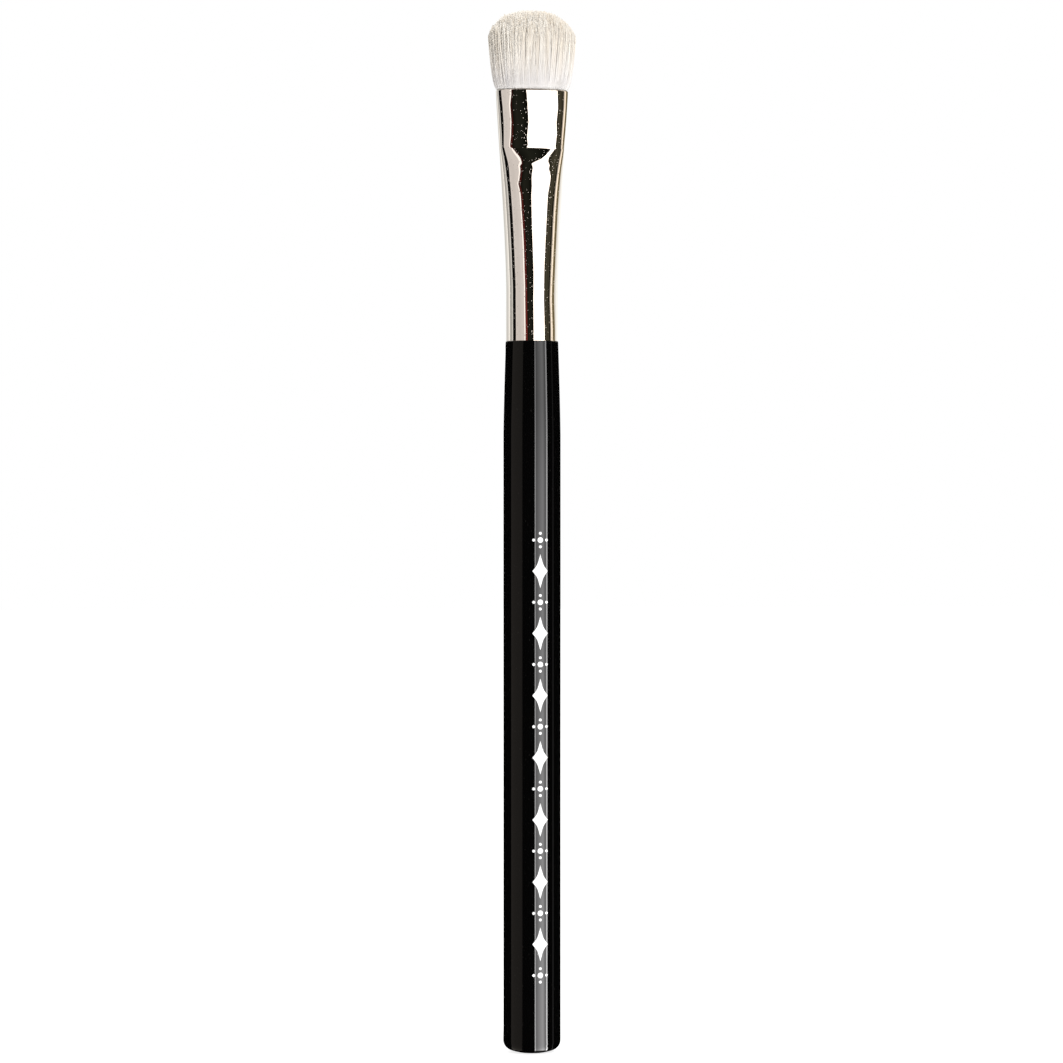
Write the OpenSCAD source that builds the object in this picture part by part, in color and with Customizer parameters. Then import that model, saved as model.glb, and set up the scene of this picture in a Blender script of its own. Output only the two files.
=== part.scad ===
// Eyeshadow brush: a turned wooden handle under black lacquer, a pressed metal ferrule and a domed tuft
// of white goat hair. It stands on its butt, with +Z up the handle and Y square to the pressed faces.

/* [Handle] */
// Length of the handle that shows, from the butt to the ferrule
handle_len = 106.4; // [80:0.1:140]
// Diameter of the straight barrel
barrel_d = 8.6; // [7.5:0.1:11]
// Length of the neck, where the barrel narrows to the ferrule
neck_len = 14; // [8:0.5:40]
// Radius of the slightly domed butt
butt_dome_r = 10; // [6.5:0.1:20]
// Diameter of the small flat in the middle of the butt, on which the brush can stand
foot_d = 4; // [2:0.1:5]
// Rounding where the butt meets the barrel
butt_round = 1.5; // [0.5:0.05:2]
// Thickness of the lacquer coat
coat_t = 0.15; // [0.1:0.05:0.4]
// Length of the bare tenon inside the ferrule
tenon_len = 7; // [5:0.5:12]
// Edge broken round the tenon's end
tenon_chamfer = 0.6; // [0.2:0.1:1.2]

/* [Ferrule] */
// Length of the ferrule
ferrule_len = 37.7; // [34:0.1:60]
// Outer diameter at the handle, flush with the neck
ferrule_d = 7.9; // [7:0.1:9]
// Thickness of the metal
ferrule_wall = 0.35; // [0.2:0.05:0.5]
// Thickness of the adhesive between the tenon and the ferrule
glue_t = 0.15; // [0.1:0.05:0.3]
// Width of the oval mouth, where the hair comes out
mouth_w = 11; // [9.5:0.1:14]
// Thickness of the oval mouth
mouth_t = 5; // [4.2:0.1:6.5]
// Length that the press has squeezed below the mouth
press_len = 8.8; // [6:0.1:10]
// Depth of the pinch in each face, at the lower edge of the press
press_depth = 0.9; // [0.3:0.05:1.1]
// Width of the steep middle of the shoulder under the pinch
press_w = 7; // [4:0.1:9]
// Height of the shoulder in its steep middle
shoulder_len = 3.3; // [2:0.1:5]
// Height over which the shoulder runs out at its sides
shoulder_side_len = 6.7; // [5:0.1:10]

/* [Hair] */
// Length of the hair that shows
hair_len = 12.2; // [9:0.1:20]
// Greatest width of the tuft
tuft_w = 13.3; // [11.5:0.1:18]
// Greatest thickness of the tuft
tuft_t = 6.4; // [5:0.1:9]
// Height of the widest place above the mouth, where the domed tip starts
belly_h = 7.7; // [4:0.1:8.5]
// Strands across the width
strand_columns = 30; // [25:1:30]
// Strands through the thickness
strand_rows = 12; // [12:1:13]
// Height above the mouth at which the hair parts into strands
parting_h = 0.6; // [0.3:0.1:1.5]
// Depth of the slice of packed hair below the mouth
slice_t = 1; // [0.5:0.1:2]

/* [Root] */
// Length of the packed hair below that slice, inside the ferrule
root_len = 16; // [14:0.5:18]
// Room left round the packed hair where it is tied
tie_room = 0.6; // [0.5:0.05:0.9]
// Diameter of the tying thread
thread_d = 0.35; // [0.2:0.05:0.4]
// Gap between the thread's turns
thread_gap = 0.45; // [0.43:0.01:0.6]
// Turns of the tying thread
thread_turns = 4; // [2:1:4]
// Height of resin round the end of the hair
resin_grip = 1.5; // [0.5:0.1:2]
// Depth of resin below the end of the hair
resin_below = 3; // [1.5:0.1:4]

/* [Hidden] */

// Clearance between pieces that are coated or bonded to each other
fit_gap = 0.02;
// Clearance between the packed hair and the metal round it
hair_gap = 0.05;
// Room between the tenon's end and the place where the ferrule starts to flare
flare_gap = 0.5;
// Least height between two rings of a loft
level_gap = 0.05;

// How late the neck narrows, the ferrule widens, its mouth runs straight again and its body thins
neck_ease = 1.3;
widen_ease = 1.5;
mouth_ease = 1.2;
thin_ease = 1.2;
// How the pinch runs out: towards the mouth, and down the shoulder
press_ease = 1.2;
shoulder_ease = 2;
// How fast the hair spreads once it is free of the mouth: 1 is a straight cone
spread_ease = 0.38;
// Ragged tips: the share of its length that a strand may fall short
ragged_share = 0.04;
ragged_seed = 7;
// Share of its cell that a strand fills at its foot and at its ring, and where along it the ring lies
foot_share = 0.9;
ring_fill_share = 0.82;
ring_height_share = 0.84;
// How far the columns of strands wave, as a share of half the width, and how fast
wave_share = 0.08;
wave_turn = 250;

barrel_r = barrel_d / 2;
neck_r = ferrule_d / 2;
bore_r = neck_r - ferrule_wall;
tenon_r = bore_r - glue_t;
neck_z = handle_len - neck_len;
tenon_top = handle_len + tenon_len;
mouth_z = handle_len + ferrule_len;

round_len = tenon_len + flare_gap;
press_h = ferrule_len - press_len;
hair_inset = ferrule_wall + hair_gap;

slice_h = ferrule_len - slice_t;
root_h = slice_h - root_len;
tie_h = root_h + resin_grip + thread_gap + thread_d / 2;
tie_top_h = tie_h + thread_turns * (thread_d + thread_gap);

arc_steps = 10;
neck_steps = 16;
turn_sides = 96;
loft_sides = 64;
flare_steps = 8;
shoulder_steps = 8;
press_steps = 5;
tie_steps = 24;
thread_sides = 6;

// Handle outline, drawn in half and turned round the axis

// Height of the dome's centre above the flat
dome_z = sqrt(pow(butt_dome_r, 2) - pow(foot_d / 2, 2));

// Centre of the rounding that joins the domed butt to the barrel, and the angle where the two meet
round_r = barrel_r - butt_round;
round_z = dome_z - sqrt(pow(butt_dome_r - butt_round, 2) - pow(round_r, 2));
dome_angle = asin(round_r / (butt_dome_r - butt_round));

function arc(middle, r, from, to, first = 0) =
    [for (i = [first : arc_steps])
        let (a = from + (to - from) * i / arc_steps)
        middle + r * [sin(a), -cos(a)]];

// Radius of the neck at a share of its length
function neck_at(share) = barrel_r - (barrel_r - neck_r) * pow(share, neck_ease);

// From the butt's centre up to the shoulder, moved inwards by inset
function handle_side(inset) =
    let (
        run = (neck_len - inset) / neck_len,
        foot_angle = acos((dome_z - inset) / (butt_dome_r - inset)))
    concat(
        [[0, inset]],
        arc([0, dome_z], butt_dome_r - inset, foot_angle, dome_angle),
        arc([round_r, round_z], butt_round - inset, dome_angle, 90, first = 1),
        [for (i = [0 : neck_steps])
            let (share = run * i / neck_steps)
            [neck_at(share) - inset, neck_z + neck_len * share]]);

function backwards(list) = [for (i = [len(list) - 1 : -1 : 0]) list[i]];

module turned(outline) {
    rotate_extrude($fn = turn_sides) polygon(outline);
}

// Ferrule section at a height above its lower end: an oval, pinched in front and behind by the press

function limit(v) = min(max(v, 0), 1);
function flare(h) = limit((h - round_len) / (ferrule_len - round_len));
function half_w(h) =
    neck_r + (mouth_w / 2 - neck_r) * (1 - pow(1 - pow(flare(h), widen_ease), mouth_ease));
function half_t(h) = neck_r + (mouth_t / 2 - neck_r) * pow(flare(h), thin_ease);

// The pinch is deepest at press_h. Above it the faces fill out towards the mouth; below it the
// shoulder is steep in the middle and gentle at the sides.
function steep(across) = pow(limit(1 - pow(2 * across * half_w(press_h) / press_w, 2)), 2);
function ramp(h, run) = pow(limit(1 - (press_h - h) / run), shoulder_ease);
function pinch(across, h) =
    h >= press_h
    ? press_depth * pow(limit((ferrule_len - h) / press_len), press_ease)
    : press_depth * (steep(across) * ramp(h, shoulder_len)
        + (1 - steep(across)) * ramp(h, shoulder_side_len));

// A point of the unit disc, carried to the section at height h and moved inwards by inset
function ferrule_spot(disc, h, inset) =
    [(half_w(h) - inset) * disc[0],
     (half_t(h) - pinch(disc[0], h) - inset) * disc[1],
     handle_len + h];

function ring(h, inset) =
    [for (i = [0 : loft_sides - 1])
        let (a = 360 * i / loft_sides)
        ferrule_spot([cos(a), sin(a)], h, inset)];

// Heights of the rings between lo and hi, closest together just under the edge of the press
levels = concat(
    [for (i = [0 : flare_steps - 1])
        round_len + (press_h - shoulder_side_len - round_len) * i / flare_steps],
    [for (i = [shoulder_steps : -1 : 1])
        press_h - shoulder_side_len * pow(i / shoulder_steps, shoulder_ease)],
    [for (i = [0 : press_steps]) press_h + press_len * i / press_steps]);
function levels_between(lo, hi) =
    concat([lo], [for (h = levels) if (h > lo + level_gap && h < hi - level_gap) h], [hi]);

// A skin over rings of points. Closed, its last ring meets its first, as in a tube with a wall.
module skin(rings, closed = false) {
    sides = len(rings[0]);
    count = len(rings);
    last = closed ? count - 1 : count - 2;
    walls = [for (k = [0 : last], i = [0 : sides - 1])
        let (j = (i + 1) % sides, a = k * sides, b = ((k + 1) % count) * sides)
        each [[a + i, b + i, b + j], [a + i, b + j, a + j]]];
    caps = closed ? [] : [
        [for (i = [0 : sides - 1]) i],
        [for (i = [sides - 1 : -1 : 0]) (count - 1) * sides + i]];
    polyhedron([for (r = rings) each r], concat(walls, caps));
}

// Tuft, above the mouth

function spread(h) = pow(limit(h / belly_h), spread_ease);
function tuft_spot(disc, h) =
    let (
        w = half_w(ferrule_len) - hair_inset,
        t = half_t(ferrule_len) - hair_inset)
    [(w + (tuft_w / 2 - w) * spread(h)) * disc[0],
     (t + (tuft_t / 2 - t) * spread(h)) * disc[1],
     mouth_z + h];

// Height of the domed tip over a point of the disc
function dome(disc) = belly_h + (hair_len - belly_h) * sqrt(max(0, 1 - disc * disc));

// A square of side 2 drawn to the unit disc, and the corners of its cells. The columns wave a little,
// so that no straight gap runs through the tuft.
function to_disc(p) =
    let (x = p[0] + wave_share * (1 - p[0] * p[0]) * sin(wave_turn * p[1]))
    [x * sqrt(1 - p[1] * p[1] / 2), p[1] * sqrt(1 - x * x / 2)];
function lattice(i, j) = to_disc([2 * i / strand_columns - 1, 2 * j / strand_rows - 1]);

// The corners of a strand's section, filling a share of the cell i, j
function strand_corners(i, j, fill) =
    [for (c = [[-1, -1], [1, -1], [1, 1], [-1, 1]])
        lattice(i + (1 + fill * c[0]) / 2, j + (1 + fill * c[1]) / 2)];

// Foot, ring and tip of the strand in the cell i, j, which falls short by a share of its length
function strand_points(i, j, short) =
    let (middle = lattice(i + 1 / 2, j + 1 / 2), tip = dome(middle) * (1 - short))
    concat(
        [for (c = strand_corners(i, j, foot_share)) tuft_spot(c, parting_h)],
        [for (c = strand_corners(i, j, ring_fill_share)) tuft_spot(c, tip * ring_height_share)],
        [tuft_spot(middle, tip)]);

// Round the edge of the lattice, anticlockwise from its first corner
rim_cells = concat(
    [for (i = [0 : strand_columns - 1]) [i, 0]],
    [for (j = [0 : strand_rows - 1]) [strand_columns, j]],
    [for (i = [strand_columns : -1 : 1]) [i, strand_rows]],
    [for (j = [strand_rows : -1 : 1]) [0, j]]);

module handle_core() {
    color("burlywood")
        turned(concat(
            handle_side(coat_t + fit_gap),
            [[tenon_r, handle_len - coat_t - fit_gap],
             [tenon_r, tenon_top - tenon_chamfer],
             [tenon_r - tenon_chamfer, tenon_top],
             [0, tenon_top]]));
}

module lacquer_coat() {
    seat_r = tenon_r + fit_gap;
    color([0.02, 0.02, 0.02])
        turned(concat(
            handle_side(0),
            [[seat_r, handle_len], [seat_r, handle_len - coat_t]],
            backwards(handle_side(coat_t))));
}

module tenon_adhesive() {
    color([0.9, 0.85, 0.7, 0.6])
        turned([
            [tenon_r + fit_gap, handle_len + fit_gap],
            [bore_r - fit_gap, handle_len + fit_gap],
            [bore_r - fit_gap, tenon_top - tenon_chamfer],
            [tenon_r + fit_gap, tenon_top - tenon_chamfer]]);
}

// One seamless shell: round where it grips the tenon, then flared to the oval mouth and pinched
module ferrule() {
    heights = levels_between(0, ferrule_len);
    color([0.84, 0.79, 0.71])
        skin(concat(
            [for (h = heights) ring(h, 0)],
            [for (h = backwards(heights)) ring(h, ferrule_wall)]), closed = true);
}

module hair_tuft() {
    cells = [for (j = [0 : strand_rows - 1], i = [0 : strand_columns - 1]) [i, j]];
    short = rands(0, ragged_share, len(cells), ragged_seed);
    per_strand = 9;
    across = strand_columns + 1;
    rim = len(rim_cells);
    first_rim = across * (strand_rows + 1);
    first_strand = first_rim + 2 * rim;

    top = [for (j = [0 : strand_rows], i = [0 : strand_columns]) tuft_spot(lattice(i, j), parting_h)];
    under = [for (c = rim_cells) ferrule_spot(lattice(c[0], c[1]), slice_h, hair_inset)];
    mouth = [for (c = rim_cells) tuft_spot(lattice(c[0], c[1]), 0)];
    strands = [for (n = [0 : len(cells) - 1]) each strand_points(cells[n][0], cells[n][1], short[n])];

    // The slice: its underside, its edge below and above the mouth, and its top round each strand's foot
    floor_face = [for (n = [0 : rim - 1]) first_rim + n];
    edge = [for (n = [0 : rim - 1])
        let (
            m = (n + 1) % rim,
            a = first_rim + n,
            b = first_rim + m,
            c = rim_cells[n][1] * across + rim_cells[n][0],
            d = rim_cells[m][1] * across + rim_cells[m][0])
        each [[a, a + rim, b + rim], [a, b + rim, b], [a + rim, c, d], [a + rim, d, b + rim]]];
    feet = [for (n = [0 : len(cells) - 1])
        let (
            c0 = cells[n][1] * across + cells[n][0],
            corner = [c0, c0 + 1, c0 + 1 + across, c0 + across],
            foot = first_strand + n * per_strand)
        for (k = [0 : 3])
            let (m = (k + 1) % 4)
            each [[corner[k], foot + k, foot + m], [corner[k], foot + m, corner[m]]]];

    // Each strand: four sides up to its ring, and four that meet at its tip
    sides = [for (n = [0 : len(cells) - 1], k = [0 : 3])
        let (foot = first_strand + n * per_strand, m = (k + 1) % 4)
        each [[foot + k, foot + 4 + k, foot + 4 + m], [foot + k, foot + 4 + m, foot + m],
              [foot + 4 + k, foot + 8, foot + 4 + m]]];

    color([0.93, 0.9, 0.84])
        polyhedron(concat(top, under, mouth, strands), concat([floor_face], edge, feet, sides));
}

// How far the packed hair stands in from the metal: it fills the mouth and draws in where it is tied
function root_inset(h) =
    let (share = limit((h - tie_top_h) / (press_h - tie_top_h)))
    hair_inset + tie_room * (1 - share * share * (3 - 2 * share));

module hair_root() {
    color([0.9, 0.87, 0.8])
        skin([for (h = levels_between(root_h, slice_h)) ring(h, root_inset(h))]);
}

// Thread wound round the packed hair, from just above the resin. Between two rings it runs straight,
// so it stands off by that sag as well.
tie_sag = half_w(tie_top_h) * (1 - cos(180 / tie_steps));
tie_inset = hair_inset + tie_room - thread_d / 2 - tie_sag - fit_gap;
tie_middles = [for (k = [0 : tie_steps * thread_turns])
    ferrule_spot(
        [cos(360 * k / tie_steps), sin(360 * k / tie_steps)],
        tie_h + (tie_top_h - tie_h) * k / (tie_steps * thread_turns),
        tie_inset)];

// Least gap between one turn of the thread and the next, measured on the rings' centres
tie_least_gap = min([for (k = [0 : len(tie_middles) - tie_steps - 2], n = [-1 : 1])
    norm(tie_middles[k + tie_steps + n] - tie_middles[k]) - thread_d]);
echo(least_gap_of_root_binding_to_itself = tie_least_gap);

module root_binding() {
    color([0.75, 0.7, 0.6])
        skin([for (middle = tie_middles)
            let (
                h = middle[2] - handle_len,
                slant = [middle[0] / pow(half_w(h), 2), middle[1] / pow(half_t(h), 2), 0],
                out = slant / norm(slant))
            [for (n = [0 : thread_sides - 1])
                let (b = 360 * n / thread_sides)
                middle + thread_d / 2 * (cos(b) * out + [0, 0, sin(b)])]]);
}

// Resin cast round the end of the hair, as a cup with a thick floor
module root_resin() {
    outside = levels_between(root_h - resin_below, root_h + resin_grip);
    inside = levels_between(root_h - fit_gap, root_h + resin_grip);
    color([0.8, 0.6, 0.3, 0.8])
        skin(concat(
            [for (h = outside) ring(h, ferrule_wall + fit_gap)],
            [for (h = backwards(inside)) ring(h, root_inset(h) - fit_gap)]));
}

handle_core();
lacquer_coat();
tenon_adhesive();
ferrule();
hair_tuft();
hair_root();
root_binding();
root_resin();
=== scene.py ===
"""Looks of the eyeshadow brush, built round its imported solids.

Lengths are in metres. +Z runs up the brush, X lies across the wide oval of the mouth, and the pressed
faces look along -Y and +Y.
"""
from math import acos, asin, atan2, ceil, cos, degrees, pi, radians, sin, sqrt

import bpy
import numpy as np
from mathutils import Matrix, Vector


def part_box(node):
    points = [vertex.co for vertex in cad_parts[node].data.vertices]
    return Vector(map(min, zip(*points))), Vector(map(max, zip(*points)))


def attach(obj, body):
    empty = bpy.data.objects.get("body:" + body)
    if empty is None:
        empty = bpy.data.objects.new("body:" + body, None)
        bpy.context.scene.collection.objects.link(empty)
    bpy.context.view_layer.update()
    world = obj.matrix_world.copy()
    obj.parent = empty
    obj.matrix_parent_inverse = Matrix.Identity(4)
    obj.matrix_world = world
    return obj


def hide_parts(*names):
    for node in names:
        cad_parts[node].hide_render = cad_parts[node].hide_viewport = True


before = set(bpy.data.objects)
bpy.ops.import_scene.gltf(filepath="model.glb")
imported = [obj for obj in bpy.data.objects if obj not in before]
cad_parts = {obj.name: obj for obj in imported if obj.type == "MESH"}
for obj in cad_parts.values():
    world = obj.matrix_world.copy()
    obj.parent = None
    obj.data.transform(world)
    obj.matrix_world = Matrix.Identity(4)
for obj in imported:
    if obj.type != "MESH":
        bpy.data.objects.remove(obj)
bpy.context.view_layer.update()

MM = 0.001
BODY = "root"

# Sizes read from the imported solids
coat_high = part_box("lacquer_coat")[1]
ferrule_low, ferrule_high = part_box("ferrule")
tuft_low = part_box("hair_tuft")[0]
root_low, root_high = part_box("hair_root")
resin_low, resin_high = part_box("root_resin")
binding_low, binding_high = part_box("root_binding")

BARREL_R = coat_high.x
HANDLE_LEN = coat_high.z
FERRULE_R = ferrule_high.y
FERRULE_LEN = ferrule_high.z - ferrule_low.z
MOUTH_HALF_W = ferrule_high.x
MOUTH_Z = ferrule_high.z
SLICE_DEPTH = MOUTH_Z - tuft_low.z

# Handle, as in the part's source
NECK_LEN = 14 * MM
BUTT_DOME_R = 10 * MM
FOOT_R = 2 * MM
BUTT_ROUND = 1.5 * MM
COAT_T = 0.15 * MM
COAT_LIP = 0.05 * MM
NECK_EASE = 1.3
TENON_LEN = 7 * MM
FIT_GAP = 0.02 * MM

# Ferrule, as in the part's source
FERRULE_WALL = 0.35 * MM
FLARE_START = TENON_LEN + 0.5 * MM
MOUTH_HALF_T = 2.5 * MM
PRESS_LEN = 8.8 * MM
PRESS_DEPTH = 0.9 * MM
PRESS_W = 7 * MM
SHOULDER_LEN = 3.3 * MM
SHOULDER_SIDE_LEN = 6.7 * MM
WIDEN_EASE = 1.5
MOUTH_EASE = 1.2
THIN_EASE = 1.2
PRESS_EASE = 1.2
SHOULDER_EASE = 2
PRESS_H = FERRULE_LEN - PRESS_LEN
# How far the edge of the press is rounded, up and down
PRESS_ROUND = 0.09 * MM
# Rounding of the ferrule's lower edge
HEM_ROUND = 0.08 * MM
# A ring this far from a rounded edge keeps its shading off the plain side
EDGE_GUARD = 0.02 * MM

# Tuft, as in the part's source, but 0.15 mm shorter
HAIR_LEN = 12.05 * MM
HAIR_GAP = 0.05 * MM
TUFT_HALF_W = 6.65 * MM
TUFT_HALF_T = 3.2 * MM
BELLY_H = 7.7 * MM
SPREAD_EASE = 0.38
HAIR_INSET = FERRULE_WALL + HAIR_GAP
HAIR_HALF_W = MOUTH_HALF_W - FERRULE_WALL - HAIR_GAP
HAIR_HALF_T = MOUTH_HALF_T - FERRULE_WALL - HAIR_GAP

# Hairs of the tuft
LOCKS = 5
HAIRS_IN_LOCK = 3950
HAIR_SIDES = 3
HAIR_STEPS = 8
HAIR_R = 0.043 * MM
HAIR_SEED = 11

# Root of the hair inside the ferrule
TIE_ROOM = 0.6 * MM
THREAD_R = 0.175 * MM
THREAD_TURNS = 4

# The photograph: its frame, its scale where the brush stands, and the brush's place in it
PHOTO_SIDE = 1063
PHOTO_SCALE = 0.15 * MM
BUTT_ROW = 1051.4
AXIS_COLUMN = 531.9
LENS = 120
SENSOR = 36
# The brush is turned a little about its axis, so that its front looks to the viewer's right
TURN = radians(10)

to_camera = Vector((-sin(TURN), -cos(TURN), 0))
to_right = Vector((cos(TURN), -sin(TURN), 0))


# Node trees

def feed(socket, value):
    """Links a socket to an input, or sets it to a constant."""
    if isinstance(value, bpy.types.NodeSocket):
        socket.id_data.links.new(value, socket)
    else:
        socket.default_value = value


def put(tree, kind, inputs=None, **settings):
    """Adds a node. Its inputs are named by identifier, by name or by number."""
    made = tree.nodes.new(kind)
    for name, value in settings.items():
        setattr(made, name, value)
    for key, value in (inputs or {}).items():
        by_identifier = [s for s in made.inputs if s.identifier == key]
        feed(by_identifier[0] if by_identifier else made.inputs[key], value)
    return made


def result(tree, kind, inputs=None, **settings):
    """The first output of a new node."""
    return put(tree, kind, inputs, **settings).outputs[0]


def calc(operation, *terms, clamp=False):
    """A Math node's result, in the node tree of its terms, of which one at least is a socket."""
    tree = next(term.id_data for term in terms if isinstance(term, bpy.types.NodeSocket))
    return result(tree, "ShaderNodeMath", dict(enumerate(terms)), operation=operation, use_clamp=clamp)


def times(product, *others):
    """The product of its terms."""
    for other in others:
        product = calc("MULTIPLY", product, other)
    return product


def rest_of(*terms, clamp=False):
    """What the product of its terms leaves of one."""
    return calc("SUBTRACT", 1.0, times(*terms), clamp=clamp)


def between(low, high, share):
    """A value at a share of the way from one to another."""
    return calc("MULTIPLY_ADD", calc("SUBTRACT", high, low), share, low)


def about(chance, middle, swing):
    """How far a chance lies from its middle, times a swing."""
    return times(calc("SUBTRACT", chance, middle), swing)


def vector_of(x, y, z):
    return result(x.id_data, "ShaderNodeCombineXYZ", {0: x, 1: y, 2: z})


def parts_of(vector):
    return put(vector.id_data, "ShaderNodeSeparateXYZ", {0: vector}).outputs


def ranged(value, low, high, to_low=0.0, to_high=1.0):
    """A value carried from one range to another, and held inside it."""
    names = ("Value", "From Min", "From Max", "To Min", "To Max")
    return result(value.id_data, "ShaderNodeMapRange", dict(zip(names, (value, low, high, to_low, to_high))))


def mixed(share, first, second):
    """Two colours mixed by a share."""
    made = put(share.id_data, "ShaderNodeMix",
               {"Factor_Float": share, "A_Color": first, "B_Color": second}, data_type="RGBA")
    return next(s for s in made.outputs if s.identifier == "Result_Color")


def noise(vector, scale, detail=2.0, roughness=0.5):
    return put(vector.id_data, "ShaderNodeTexNoise",
               {"Vector": vector, "Scale": scale, "Detail": detail, "Roughness": roughness})


def stretched(tree, along=1.0, through=1.0):
    """Object coordinates, scaled along the brush and through it."""
    spot = put(tree, "ShaderNodeTexCoord").outputs["Object"]
    return result(tree, "ShaderNodeMapping", {"Vector": spot, "Scale": (1.0, through, along)})


def grain(tree, scale, detail=2.0, roughness=0.5, along=1.0):
    """Noise over the object, from 0 to 1."""
    return noise(stretched(tree, along), scale, detail, roughness).outputs["Fac"]


def emboss(shader, height, distance):
    """Gives a shader fine relief."""
    relief = result(shader.id_data, "ShaderNodeBump", {"Height": height, "Distance": distance})
    feed(shader.inputs["Normal"], relief)


def paint(shader, share, tones):
    """Colours a shader by a share of the way from one tone to another."""
    feed(shader.inputs["Base Color"], mixed(share, *tones))


def bare_tree(made):
    """The emptied node tree of a new material or world."""
    made.use_nodes = True
    made.node_tree.nodes.clear()
    return made.node_tree


def finish(name, **constants):
    """A material with one Principled shader, whose constants are set on its own sockets."""
    made = bpy.data.materials.new(name)
    made.use_nodes = True
    shader = made.node_tree.nodes["Principled BSDF"]
    for key, value in constants.items():
        shader.inputs[key.replace("_", " ")].default_value = value
    return made, made.node_tree, shader


# Materials

# Depths of the fine relief of the finishes
PIT_DEPTH = 0.009 * MM
FLOW_DEPTH = 0.0012 * MM
STREAK_DEPTH = 0.03 * MM
WOOD_DEPTH = 0.02 * MM
BUBBLE_DEPTH = 0.02 * MM
CLOUD_DEPTH = 0.01 * MM
TWIST_DEPTH = 0.03 * MM
# Tones that the finishes mix. The hair has a pale and a warm one at its foot, middle and tip, the foot ones
# painted light
LACQUER_TONES = (0.0009, 0.0008, 0.0008, 1), (0.012, 0.011, 0.01, 1)
PLATE_TONES = (0.69, 0.61, 0.535, 1), (0.64, 0.555, 0.48, 1)
# The first tone of each hair set is painted light: lighter than the hair, to cancel the shade where the hairs
# slant out and down over the rim
PALE_TONES_LIT_FOOT = (0.95, 0.93, 0.91, 1), (0.82, 0.79, 0.775, 1), (0.97, 0.93, 0.865, 1)
WARM_TONES_LIT_FOOT = (0.93, 0.9, 0.87, 1), (0.79, 0.745, 0.7, 1), (0.85, 0.745, 0.605, 1)
PACKED_TONES = (0.9, 0.86, 0.8, 1), (0.66, 0.57, 0.46, 1)
INK_TONES = (0.9, 0.9, 0.89, 1), (0.6, 0.6, 0.6, 1)
WOOD_TONES = (0.66, 0.47, 0.30, 1), (0.56, 0.38, 0.23, 1)
GRAIN_TONE, FLECK_TONE = (0.47, 0.3, 0.17, 1), (0.32, 0.18, 0.09, 1)
GLUE_TONES = (0.86, 0.79, 0.6, 1), (0.78, 0.67, 0.43, 1)
RESIN_TONES = (0.78, 0.53, 0.24, 1), (0.6, 0.35, 0.12, 1)
THREAD_TONES = (0.8, 0.75, 0.65, 1), (0.6, 0.53, 0.41, 1)


def black_lacquer():
    """Deep gloss lacquer: a faint unevenness from spraying and a few motes of dust under the surface."""
    made, tree, shader = finish("black_lacquer", IOR=1.5, Coat_Weight=0.0)
    motes = grain(tree, 5200, detail=0.0)
    haze = grain(tree, 260, detail=3.0, along=0.2)
    paint(shader, ranged(motes, 0.79, 0.84), LACQUER_TONES)
    feed(shader.inputs["Roughness"], ranged(haze, 0.3, 0.7, 0.035, 0.075))
    emboss(shader, grain(tree, 900, detail=1.0, along=0.35), FLOW_DEPTH)
    return made


def plated_brass():
    """Bright nickel plate with a warm tone, drawn along its length, with fine pits and handling marks."""
    made, tree, shader = finish("plated_brass", Metallic=1.0)
    drawn = grain(tree, 2600, along=0.012)
    cell = put(tree, "ShaderNodeTexVoronoi", {"Vector": stretched(tree, 0.8), "Scale": 4800.0}).outputs
    pits = times(ranged(cell["Distance"], 0.08, 0.3, 1.0, 0.0),
                 ranged(parts_of(cell["Color"])[0], 0.72, 0.74))
    smears = grain(tree, 240, detail=3.0, roughness=0.6, along=0.3)
    paint(shader, ranged(smears, 0.35, 0.7), PLATE_TONES)
    feed(shader.inputs["Roughness"], ranged(smears, 0.3, 0.75, 0.015, 0.045))
    emboss(shader, calc("SUBTRACT", times(drawn, 0.03), pits), PIT_DEPTH)
    return made


def white_hair():
    """Natural goat hair. Each hair has its own tone, and the tips are warmer than the foot. The foot's tone
    is painted light: lighter than the hair, to cancel the shade where the hairs slant out over the rim.
    """
    made, tree, shader = finish("white_hair", Specular_IOR_Level=0.35, Sheen_Weight=0.15,
                                Sheen_Roughness=0.5, Roughness=0.55)
    tone, along = (put(tree, "ShaderNodeAttribute", attribute_name=name).outputs["Fac"]
                   for name in ("hair_tone", "hair_along"))
    # Painted light: the lighter foot tone holds from inside the mouth to about 0.15 mm above it, and gives
    # way to the middle tone by about 1 mm
    low, high = ranged(along, 0.12, 0.32), ranged(along, 0.45, 0.9)
    shades = [mixed(high, mixed(low, foot, middle), tip)
              for foot, middle, tip in (PALE_TONES_LIT_FOOT, WARM_TONES_LIT_FOOT)]
    patches = grain(tree, 330, along=0.4)
    share = calc("MULTIPLY", tone, ranged(patches, 0.3, 0.7, 0.6, 1.0), clamp=True)
    paint(shader, share, shades)
    return made


def packed_hair():
    """Hair pressed together: fine streaks along its length, seen where it is cut or bound."""
    made, tree, shader = finish("packed_hair", Specular_IOR_Level=0.3, Roughness=0.6)
    streaks = grain(tree, 5200, detail=3.0, roughness=0.7, along=0.03)
    share = calc("ADD", times(streaks, 0.7), times(grain(tree, 1300, along=0.06), 0.3))
    paint(shader, ranged(share, 0.35, 0.68), PACKED_TONES)
    emboss(shader, streaks, STREAK_DEPTH)
    return made


def print_white():
    """Screen-printed white, a little thin in places."""
    made, tree, shader = finish("print_white", Roughness=0.38, Specular_IOR_Level=0.4)
    thin = grain(tree, 3200, detail=3.0, roughness=0.6)
    paint(shader, ranged(thin, 0.56, 0.75), INK_TONES)
    return made


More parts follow.
